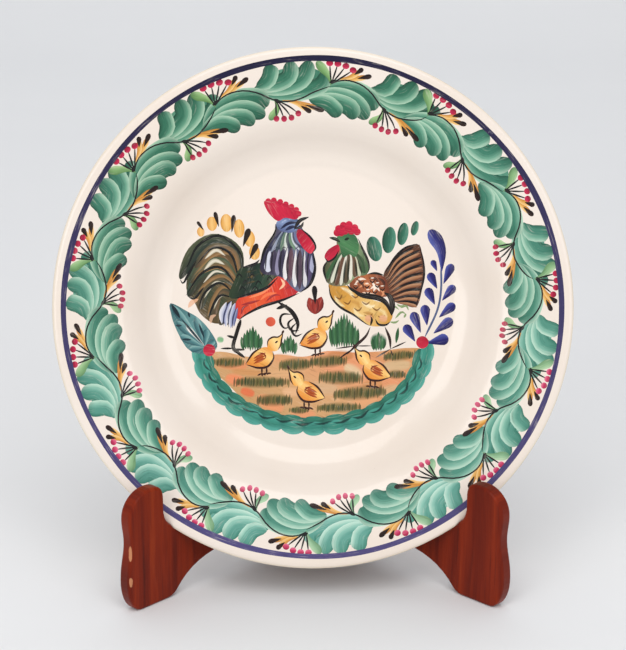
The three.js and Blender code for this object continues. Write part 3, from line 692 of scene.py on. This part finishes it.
def inside(places, outline):
    """Which places lie inside a closed outline."""
    x, y = places[:, 0:1], places[:, 1:2]
    ax, ay = outline[:, 0], outline[:, 1]
    bx, by = np.roll(ax, -1), np.roll(ay, -1)
    crosses = (ay > y) != (by > y)
    at_x = ax + (y - ay) * (bx - ax) / np.where(by == ay, 1e-12, by - ay)
    return (crosses & (x < at_x)).sum(axis=1) % 2 == 1


def where_on(item, places):
    """For each place, how far along and across a stroke it lies, and its colour's share."""
    if "across" in item:
        low, high = item["span"].min(), item["span"].max()
        s = 2 * (places @ item["across"] - low) / (high - low) - 1
        along = places @ np.array([-item["across"][1], item["across"][0]])
        return along, s, s * (high - low) / 2, np.full(len(places), 0.5)
    a, b = item["middle"][:-1], item["middle"][1:]
    way = b - a
    length = np.maximum((way ** 2).sum(axis=1), 1e-12)
    offset = places[:, None] - a
    share = np.clip((offset * way).sum(axis=2) / length, 0, 1)
    away = offset - share[:, :, None] * way
    nearest = (away ** 2).sum(axis=2).argmin(axis=1)
    row = np.arange(len(places))
    share, away, way = share[row, nearest], away[row, nearest], way[nearest]
    t = item["t"][nearest] * (1 - share) + item["t"][nearest + 1] * share
    half = item["half"][nearest] * (1 - share) + item["half"][nearest + 1] * share
    left = np.sign(way[:, 0] * away[:, 1] - way[:, 1] * away[:, 0])
    across = left * np.linalg.norm(away, axis=1)
    return t * item["length"], np.clip(across / np.maximum(half, 0.05), -1, 1), across, t


colours = np.tile(np.array(linear(CREAM)), (len(faces), 3, 1))
brush = np.zeros((len(faces), 3, 3))
paint = np.zeros((len(faces), 3))
radii = np.linalg.norm(centres, axis=1)
for number, item in enumerate(painting):
    low, high = item["outline"].min(axis=0), item["outline"].max(axis=0)
    near = np.flatnonzero(((centres > low) & (centres < high)).all(axis=1))
    near = near[inside(centres[near], item["outline"])]
    if not len(near):
        continue
    places = (corners[near] * 0.96 + centres[near][:, None] * 0.04).reshape(-1, 2)
    along, s, across, t = where_on(item, places)
    tones = item["tones"]
    stops = np.linspace(1, -1, len(tones))[::-1] if len(tones) > 1 else np.array([0.0])
    colour = np.stack([np.interp(-s, stops, tones[:, k]) for k in range(3)], axis=1)
    strength = np.full(len(places), item["strength"])
    if item["soft"]:
        strength *= np.clip(1.25 - 1.25 * np.abs(s) ** 2, 0, 1) * np.clip(8 * np.minimum(t, 1 - t), 0, 1)
    if item.get("pool") is not None:
        gathered = np.clip((t - 0.72) / 0.28, 0, 1) ** 1.5 * 0.7 + np.clip(1 - t / 0.3, 0, 1) * 0.45
        colour = colour * (1 - gathered[:, None]) + item["pool"] * gathered[:, None]
    strength = strength.reshape(-1, 3, 1)
    colours[near] = colours[near] * (1 - strength) + colour.reshape(-1, 3, 3) * strength
    brush[near] = np.stack([along, across, np.full(len(places), number * 1.7)], axis=1).reshape(-1, 3, 3)
    paint[near] = np.maximum(paint[near] * (1 - strength[..., 0]), strength[..., 0])
on_line = inside(centres, line_outside) & ~inside(centres, line_inside)
turn = np.arctan2(corners[on_line][..., 0], corners[on_line][..., 1])
low_share = (0.5 - 0.5 * np.cos(turn))[..., None]
colours[on_line] = np.array(linear("120f33")) * (1 - low_share) + np.array(linear("4c4678")) * low_share
brush[on_line] = np.stack([turn * 152, np.linalg.norm(corners[on_line], axis=2), turn * 0 + 900], axis=2)
paint[on_line] = 1

# The face's mesh is lifted to the profile, and the lip and underside turned
# round to close it.
flat_radius = np.linalg.norm(flat, axis=1)
under_knots = [(160, 33.6), (159.6, 32.4), (158.4, 31.4), (156, 30.7), (138, 27.4), (122, 24.6),
    (115, 21.8), (109.5, 16.2), (105, 9.6), (102, 5.6), (100.2, 2.4), (99, 0.3), (98, 0), (94, 0),
    (93, 0.4), (92.2, 2.4), (91, 3.1), (88, 3.2), (60, 3.2), (25, 3.2)]
lip = smooth([(FACE_EDGE, face_height(FACE_EDGE)), (159.7, 34.4), (160, 33.6)], 5)[0][1:-1]
under = np.vstack([lip, smooth(under_knots[:8], 22)[0], smooth(under_knots[7:], 20)[0][1:]])
mesh_points = [(x, y, z) for (x, y), z in zip(flat, face_height(flat_radius))]
slope = face_slope(np.minimum(flat_radius, 159))
outward = flat / np.maximum(flat_radius, 1e-6)[:, None]
normals = [Vector((-o[0] * k, -o[1] * k, 1)).normalized() for o, k in zip(outward, slope)]
ring_before = [int(np.argmin(((flat - p) ** 2).sum(axis=1))) for p in rim_loop]
turned_faces = []
under_way = np.gradient(under, axis=0)
for (radius, height), way in zip(under, under_way):
    first = len(mesh_points)
    normal = Vector((-way[1], way[0])).normalized()
    for a in rim_turns:
        out = Vector((math.sin(a), math.cos(a)))
        mesh_points.append((radius * out.x, radius * out.y, height))
        normals.append(Vector((normal.x * out.x, normal.x * out.y, normal.y)))
    ring = list(range(first, first + RIM_STEPS))
    for k in range(RIM_STEPS):
        j = (k + 1) % RIM_STEPS
        turned_faces.append((ring_before[k], ring_before[j], ring[j]))
        turned_faces.append((ring_before[k], ring[j], ring[k]))
    ring_before = ring
mesh_points.append((0, 0, under[-1][1]))
normals.append(Vector((0, 0, -1)))
for k in range(RIM_STEPS):
    turned_faces.append((ring_before[k], ring_before[(k + 1) % RIM_STEPS], len(mesh_points) - 1))

flipped = np.cross(corners[:, 1] - corners[:, 0], corners[:, 2] - corners[:, 0]) < 0
front = [tuple(face[::-1]) if turned else tuple(face) for face, turned in zip(faces.tolist(), flipped)]
for values in (colours, brush):
    values[flipped] = values[flipped][:, ::-1]
paint[flipped] = paint[flipped][:, ::-1]
placing = Matrix.Translation(rim_centre) @ Matrix([(1, 0, 0, 0), (0, face_up.y, face_out.y, 0),
    (0, face_up.z, face_out.z, 0), (0, 0, 0, 1)])
placing = placing @ Matrix.Scale(MM, 4) @ Matrix.Translation((0, 0, -RIM_HEIGHT))
turning = placing.to_3x3().normalized()
plate_mesh = bpy.data.meshes.new("painted_plate")
plate_mesh.from_pydata([placing @ Vector(p) for p in mesh_points], [], front + turned_faces)
plate_mesh.shade_smooth()
plate_mesh.normals_split_custom_set_from_vertices([(turning @ n).normalized() for n in normals])

bare, glazed = (np.array(linear(c)) for c in ("c9a883", "e6dccb"))
back = np.array([[mesh_points[i] for i in f] for f in turned_faces])
back_radius = np.linalg.norm(back[..., :2], axis=2)
on_foot = ((back[..., 2] < 0.35) & (back_radius < 99.2)).all(axis=1)
back_colours = np.where(on_foot[:, None, None], bare, glazed)
all_colours = np.concatenate([colours, np.broadcast_to(back_colours, back.shape)]).reshape(-1, 3)
all_brush = np.concatenate([brush, np.zeros_like(back)]).reshape(-1, 3)
all_paint = np.concatenate([paint, np.zeros(back.shape[:2])]).reshape(-1)
all_bare = np.concatenate([np.zeros(paint.shape), np.repeat(on_foot[:, None], 3, axis=1)]).reshape(-1)
layer = plate_mesh.attributes.new("pigment", "FLOAT_COLOR", "CORNER")
layer.data.foreach_set("color", np.hstack([all_colours, all_paint[:, None]]).astype(np.float32).ravel())
layer = plate_mesh.attributes.new("brush", "FLOAT_VECTOR", "CORNER")
layer.data.foreach_set("vector", all_brush.astype(np.float32).ravel())
layer = plate_mesh.attributes.new("bare_clay", "FLOAT", "CORNER")
layer.data.foreach_set("value", all_bare.astype(np.float32))


# Every material from here on is written as sums: a Shade stands for a socket,
# and adding or multiplying two of them adds the node that does it.
class Shade:
    """A socket of a material's node tree."""

    def __init__(self, tree, socket):
        self.tree = tree
        self.socket = socket

    def node(self, kind, output=0, settings=(), **inputs):
        made = self.tree.nodes.new(kind)
        for name, value in dict(settings).items():
            if name == "stops":
                ramp = made.color_ramp.elements
                for place, colour in value[2:]:
                    ramp.new(place)
                for stop, (place, colour) in zip(ramp, value):
                    stop.position = place
                    stop.color = (*colour, 1)
            else:
                setattr(made, name, value)
        for name, value in inputs.items():
            key = int(name[1:]) if name[0] == "i" and name[1:].isdigit() else name.replace("_", " ")
            socket = made.inputs[key]
            if isinstance(value, Shade):
                self.tree.links.new(value.socket, socket)
            else:
                socket.default_value = value
        return Shade(self.tree, made.outputs[output])

    def maths(self, operation, first, second=0.0):
        return self.node("ShaderNodeMath", settings={"operation": operation}, i0=first, i1=second)

    def __add__(self, other):
        return self.maths("ADD", self, other)

    def __mul__(self, other):
        return self.maths("MULTIPLY", self, other)

    def __sub__(self, other):
        return self.maths("SUBTRACT", self, other)

    def __rsub__(self, other):
        return self.maths("SUBTRACT", other, self)

    __radd__ = __add__
    __rmul__ = __mul__

    def between(self, low, high):
        """0 below low, 1 above high, and a smooth rise between them."""
        return self.node("ShaderNodeMapRange", settings={"interpolation_type": "SMOOTHSTEP"}, i0=self,
            i1=low, i2=high)

    def mix(self, first, second, blend="MIX"):
        """The colour between first and second at this value."""
        settings = {"data_type": "RGBA", "blend_type": blend}
        return self.node("ShaderNodeMix", 2, settings, i0=self, i6=first, i7=second)

    def noise(self, where, scale, detail=3.0, roughness=0.5):
        return self.node("ShaderNodeTexNoise", Vector=where, Scale=scale, Detail=detail, Roughness=roughness)

    def stretched(self, where, scale):
        return self.node("ShaderNodeVectorMath", settings={"operation": "MULTIPLY"}, i0=where, i1=scale)

    def attribute(self, name, output):
        return self.node("ShaderNodeAttribute", output, {"attribute_name": name})


def new_material(name):
    """A material, its Principled shader, and a Shade on its Object coordinates."""
    material = bpy.data.materials.new(name)
    material.use_nodes = True
    tree = material.node_tree
    shader = tree.nodes["Principled BSDF"]
    coordinates = tree.nodes.new("ShaderNodeTexCoord")
    return material, shader, Shade(tree, coordinates.outputs["Object"])


def feed(shader, **values):
    """Sets the shader's sockets: links for Shades, constants for the rest."""
    for name, value in values.items():
        socket = shader.inputs[name.replace("_", " ")]
        if isinstance(value, Shade):
            value.tree.links.new(value.socket, socket)
        else:
            socket.default_value = value


def rgba(colour):
    return (*linear(colour), 1)


plate_finish, shader, here = new_material("painted_glaze")
pigment = here.attribute("pigment", 0)
painted = here.attribute("pigment", 3)
bristles = here.attribute("brush", 1)
bare_clay = here.attribute("bare_clay", 2)
streak = here.noise(here.stretched(bristles, (0.09, 1.15, 1.0)), 1.0, 4.0, 0.65)
pooling = here.noise(here, 90.0, 3.0)
depth = (streak - 0.5) * painted * 0.9 + (pooling - 0.5) * painted * 0.35
worked = (depth.between(0.02, 0.34) * 0.55).mix(pigment, rgba("16251f"), "MULTIPLY")
thinned = (0 - depth).between(0.03, 0.36) * 0.42
worked = thinned.mix(worked, rgba("eee6d8"))
cloud = here.noise(here, 7.0, 4.0)
fleck = here.noise(here, 900.0, 2.0).between(0.71, 0.8) * here.noise(here, 60.0).between(0.5, 0.7)
warmed = (cloud.between(0.4, 0.68) * 0.16).mix(worked, rgba("dcc6a8"), "MULTIPLY")
speckled = (fleck * 0.35).mix(warmed, rgba("8a7458"), "MULTIPLY")
feed(shader, Base_Color=speckled, Roughness=0.17 + bare_clay * 0.6 + painted * 0.06,
    Coat_Weight=(1 - bare_clay) * 0.25)
feed(shader, Coat_Roughness=0.05, IOR=1.46, Specular_IOR_Level=0.3)
ripple = here.noise(here, 26.0, 3.0) + here.noise(here, 420.0, 2.0) * 0.06 + painted * streak * 0.05
bump = here.node("ShaderNodeBump", Height=ripple, Strength=0.11, Distance=0.004)
feed(shader, Normal=bump)
plate_mesh.materials.append(plate_finish)
painted_plate = bpy.data.objects.new("painted_plate", plate_mesh)
bpy.context.collection.objects.link(painted_plate)
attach(painted_plate, "plate_body")
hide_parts("plate")


# ---- The stand's two boards --------------------------------------------------
# Each is sawn from a plank with the grain upright, sanded round at its edges,
# stained red-brown and varnished. The varnish has chipped off the left board's
# front edge in two places, down to the pale wood.
HINGE_LINE = 46.3077 * MM
wood_finish, shader, here = new_material("varnished_wood")
x, y, z = (here.node("ShaderNodeSeparateXYZ", k, Vector=here) for k in range(3))
along_board = (HINGE_LINE - y + x.maths("ABSOLUTE", x)) * 0.7071
drift = here.noise(here.node("ShaderNodeCombineXYZ", X=along_board, Y=x.maths("SIGN", x), Z=z * 0.35),
    22.0, 2.0)
grain_place = here.node("ShaderNodeCombineXYZ", X=along_board + drift * 0.006, Y=x.maths("SIGN", x),
    Z=z * 0.045)
grain = here.noise(grain_place, 320.0, 5.0, 0.62)
bands = here.noise(grain_place, 75.0, 2.0, 0.5)
CHIP_ASIDE = 111.6 * MM    # from the plate's middle to the chipped edge
CHIP_WIDTH = 1.4 * MM
CHIP_PLACES = ((39.5, 6.0), (21.0, 3.8))    # height and half length
tone = here.node("ShaderNodeValToRGB", Fac=grain * 0.4 + bands * 0.6, settings={"stops": [
    (0.3, linear("3c0a01")), (0.45, linear("661803")), (0.58, linear("802506")), (0.72, linear("9a3d12"))]})
pores = here.noise(here.stretched(grain_place, (1.0, 1.0, 0.5)), 900.0, 2.0).between(0.6, 0.72)
stained = (pores * 0.45).mix(tone, rgba("3a0c04"))
rubbed = here.noise(here, 240.0, 3.0) * 0.9
chips = 0
for height, reach in CHIP_PLACES:
    away_x = (x + CHIP_ASIDE) * (1 / CHIP_WIDTH)
    away_z = (z - height * MM) * (1 / (reach * MM))
    spot = 1.5 - (away_x * away_x + away_z * away_z) - rubbed * 1.5
    chips = chips + spot.between(0.1, 0.4)
worn = (chips * 0.8).mix(stained, rgba("cc8e66"))
feed(shader, Base_Color=worn, Roughness=0.34 + grain * 0.1 + chips * 0.3, Coat_Weight=0.06 * (1 - chips))
feed(shader, Coat_Roughness=0.12, Specular_IOR_Level=0.13)
relief = grain * 0.6 + bands - pores * 0.4 - chips * 1.2
feed(shader, Normal=here.node("ShaderNodeBump", Height=relief, Strength=0.16, Distance=0.0007))
for name in ("left_leg", "right_leg"):
    board = bpy.data.objects[name]
    board.data.materials.clear()
    board.data.materials.append(wood_finish)


# ---- The plate's clear rim pads ----------------------------------------------
# A strip of clear vinyl lines each notch, so that the glaze doesn't rub on the
# wood. It is a little cloudy, with a soft shine.
pad_finish, shader, here = new_material("clear_vinyl")
cloudy = here.noise(here, 300.0, 2.0)
feed(shader, Base_Color=cloudy.mix(rgba("e9e4dc"), rgba("cfc8be")), Roughness=0.3 + cloudy * 0.1)
for name in ("left_rim_pad", "right_rim_pad"):
    pad = bpy.data.objects[name]
    pad.data.materials.clear()
    pad.data.materials.append(pad_finish)


# ---- The two hinges ----------------------------------------------------------
# Small brass butt hinges: a flat leaf let into the back end of each board, and
# knuckles that turn on a pin. The brass is dull, with darker tarnished patches at random.
brass_finish, shader, here = new_material("hinge_brass")
tarnish = here.noise(here, 160.0, 4.0).between(0.4, 0.7)
rubs = here.noise(here.stretched(here, (1.0, 1.0, 0.12)), 1400.0, 2.0)
feed(shader, Base_Color=tarnish.mix(rgba("c9a25a"), rgba("7d582c")),
    Roughness=0.26 + tarnish * 0.2 + rubs * 0.1, Metallic=1.0)
feed(shader, Normal=here.node("ShaderNodeBump", Height=rubs, Strength=0.1, Distance=0.0002))
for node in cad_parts:
    if "hinge" in node and "screw" not in node:
        piece = bpy.data.objects[node]
        piece.data.materials.clear()
        piece.data.materials.append(brass_finish)


# ---- Hinge screws ------------------------------------------------------------
# Eight countersunk brass screws, two through each leaf into the board's end.
# Their slots ended up at whatever angle they were tight.
SCREW_SIZES = {"Head radius": 2.0 * MM, "Head depth": 1.2 * MM, "Shank radius": 0.9 * MM, "Length": 9.6 * MM,
               "Slot width": 0.6 * MM, "Slot depth": 0.55 * MM}
screw_tree = bpy.data.node_groups.new("hinge_screws", "GeometryNodeTree")
screw_tree.interface.new_socket("Geometry", in_out="INPUT", socket_type="NodeSocketGeometry")
size_sockets = {name: screw_tree.interface.new_socket(name, in_out="INPUT",
    socket_type="NodeSocketFloat").identifier for name in SCREW_SIZES}
screw_tree.interface.new_socket("Geometry", in_out="OUTPUT", socket_type="NodeSocketGeometry")
given = screw_tree.nodes.new("NodeGroupInput")


def step(kind, inputs, settings=()):
    """Adds a node to the screws' tree; an input is an output socket or a constant."""
    made = screw_tree.nodes.new(kind)
    for name, value in dict(settings).items():
        setattr(made, name, value)
    for key, value in inputs.items():
        if isinstance(value, bpy.types.NodeSocket):
            screw_tree.links.new(value, made.inputs[key])
        else:
            made.inputs[key].default_value = value
    return made.outputs


def half_of(socket, sign):
    return step("ShaderNodeMath", {0: socket, 1: 0.5 * sign}, {"operation": "MULTIPLY"})[0]


def at_height(geometry, height):
    place = step("ShaderNodeCombineXYZ", {"Z": height})[0]
    return step("GeometryNodeTransform", {"Geometry": geometry, "Translation": place})[0]


sizes = given.outputs
head_cone = step("GeometryNodeMeshCone",
    {"Vertices": 28, "Radius Top": sizes["Head radius"], "Radius Bottom": sizes["Shank radius"],
    "Depth": sizes["Head depth"]})
head_low = step("ShaderNodeMath", {0: sizes["Head depth"], 1: -1.0}, {"operation": "MULTIPLY"})[0]
head = at_height(head_cone["Mesh"], head_low)
slot_size = step("ShaderNodeCombineXYZ", {0: 10 * MM, 1: sizes["Slot width"], 2: sizes["Slot depth"]})[0]
slot_block = step("GeometryNodeMeshCube", {"Size": slot_size})["Mesh"]
slot_block = at_height(slot_block, half_of(sizes["Slot depth"], -0.96))
slotted = step("GeometryNodeMeshBoolean", {"Mesh 1": head, "Mesh 2": slot_block},
    {"operation": "DIFFERENCE"})["Mesh"]
shank = step("GeometryNodeMeshCone",
    {"Vertices": 16, "Radius Top": sizes["Shank radius"],
    "Radius Bottom": half_of(sizes["Shank radius"], 0.5), "Depth": sizes["Length"]})["Mesh"]
shank_low = step("ShaderNodeMath", {0: sizes["Length"], 1: -1.0}, {"operation": "MULTIPLY"})[0]
shank_low = step("ShaderNodeMath", {0: shank_low, 1: sizes["Slot depth"]}, {"operation": "SUBTRACT"})[0]
whole = screw_tree.nodes.new("GeometryNodeJoinGeometry")
screw_tree.links.new(at_height(shank, shank_low), whole.inputs[0])
screw_tree.links.new(slotted, whole.inputs[0])
pose_name = step("GeometryNodeInputNamedAttribute", {"Name": "pose"},
    {"data_type": "FLOAT_VECTOR"})["Attribute"]
turn = step("FunctionNodeEulerToRotation", {"Euler": pose_name})[0]
placed = step("GeometryNodeInstanceOnPoints",
    {"Points": given.outputs["Geometry"], "Instance": whole.outputs[0], "Rotation": turn})[0]
real = step("GeometryNodeRealizeInstances", {"Geometry": placed})[0]
finished = step("GeometryNodeSetMaterial", {"Geometry": real, "Material": brass_finish})[0]
screw_tree.links.new(finished, screw_tree.nodes.new("NodeGroupOutput").inputs[0])

HINGE_HEIGHTS = (30, 118)
SCREW_OFFSETS = (-7.5, 7.5)
SCREW_ACROSS = 4.8       # from the hinge's line, along the leaf
LEAF_DEPTH = 1.0         # from the hinge's line, into the board
DIAGONAL = 0.70711       # each board stands at 45 degrees
tightened = random.Random(12)
for side, sign in (("left", -1), ("right", 1)):
    head_x = sign * (SCREW_ACROSS + LEAF_DEPTH) * DIAGONAL * MM
    head_y = HINGE_LINE + (SCREW_ACROSS - LEAF_DEPTH) * DIAGONAL * MM
    heads = [(head_x, head_y, (hinge + offset) * MM) for hinge in HINGE_HEIGHTS for offset in SCREW_OFFSETS]
    seats = bpy.data.meshes.new(side + "_screw_seats")
    seats.from_pydata(heads, [], [])
    outward = Vector((-sign, 1, 0)).to_track_quat("Z", "Y")
    poses = seats.attributes.new("pose", "FLOAT_VECTOR", "POINT")
    for k in range(len(heads)):
        spun = outward.to_matrix() @ Matrix.Rotation(tightened.uniform(0, math.pi), 3, "Z")
        poses.data[k].vector = spun.to_euler()
    maker = bpy.data.objects.new(side + "_screw_maker", seats)
    bpy.context.collection.objects.link(maker)
    modifier = maker.modifiers.new("screws", "NODES")
    modifier.node_group = screw_tree
    for name, size in SCREW_SIZES.items():
        modifier[size_sockets[name]] = size
    bpy.context.view_layer.update()
    evaluated = maker.evaluated_get(bpy.context.evaluated_depsgraph_get())
    screw_mesh = bpy.data.meshes.new_from_object(evaluated)
    bpy.data.objects.remove(maker)
    screws = bpy.data.objects.new(side + "_hinge_screws", screw_mesh)
    bpy.context.collection.objects.link(screws)
    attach(screws, side + "_board")
    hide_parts(*(f"{level}_hinge_{side}_screw_{k}" for level in ("lower", "upper") for k in (1, 2)))


# ---- Studio: a pale sweep and soft light -------------------------------------
sweep_mesh = bpy.data.meshes.new("sweep")
SWEEP_FRONT, SWEEP_BEND, SWEEP_RADIUS, SWEEP_TOP = -4.0, 1.8, 1.2, 4.0
profile = [(SWEEP_FRONT, 0.0), (-0.5, 0.0), (SWEEP_BEND, 0.0)]
for a in np.linspace(0.1, math.pi / 2, 12):
    profile.append((SWEEP_BEND + SWEEP_RADIUS * math.sin(a), SWEEP_RADIUS - SWEEP_RADIUS * math.cos(a)))
profile += [(SWEEP_BEND + SWEEP_RADIUS, SWEEP_TOP)]
vertices = [(x, y, z) for y, z in profile for x in (-4, 4)]
quads = [(2 * i, 2 * i + 1, 2 * i + 3, 2 * i + 2) for i in range(len(profile) - 1)]
sweep_mesh.from_pydata(vertices, [], quads)
sweep_mesh.shade_smooth()
sweep = bpy.data.objects.new("sweep", sweep_mesh)
bpy.context.collection.objects.link(sweep)
sweep_finish, shader, here = new_material("pale_paper")
feed(shader, Base_Color=here.noise(here, 3.0).mix(rgba("e9ebeb"), rgba("e4e6e7")), Roughness=0.8)
sweep_mesh.materials.append(sweep_finish)

world = bpy.context.scene.world or bpy.data.worlds.new("studio")
bpy.context.scene.world = world
world.use_nodes = True
world.node_tree.nodes["Background"].inputs["Color"].default_value = (0.97, 0.96, 1.0, 1)
world.node_tree.nodes["Background"].inputs["Strength"].default_value = 0.62


def soft_box(name, place, size, power, colour=(1, 1, 1), target=rim_centre):
    light = bpy.data.lights.new(name, "AREA")
    light.shape = "RECTANGLE"
    light.size, light.size_y = size
    light.energy = power
    light.color = colour
    lamp = bpy.data.objects.new(name, light)
    bpy.context.collection.objects.link(lamp)
    lamp.location = place
    lamp.rotation_euler = (target - lamp.location).to_track_quat("-Z", "Y").to_euler()


soft_box("overhead", (0.0, -1.1, 1.8), (1.3, 1.0), 12.5, (1, 0.975, 0.95))
soft_box("left_window", (-1.3, -1.8, 1.15), (1.0, 1.2), 12.5, (1, 0.98, 0.95))
soft_box("right_card", (1.3, -1.8, 1.15), (1.0, 1.2), 9, (0.99, 0.98, 0.98))
soft_box("backdrop_light", (0.0, 1.6, 2.4), (3.0, 1.6), 14, target=Vector((0.0, 2.4, 0.0)))
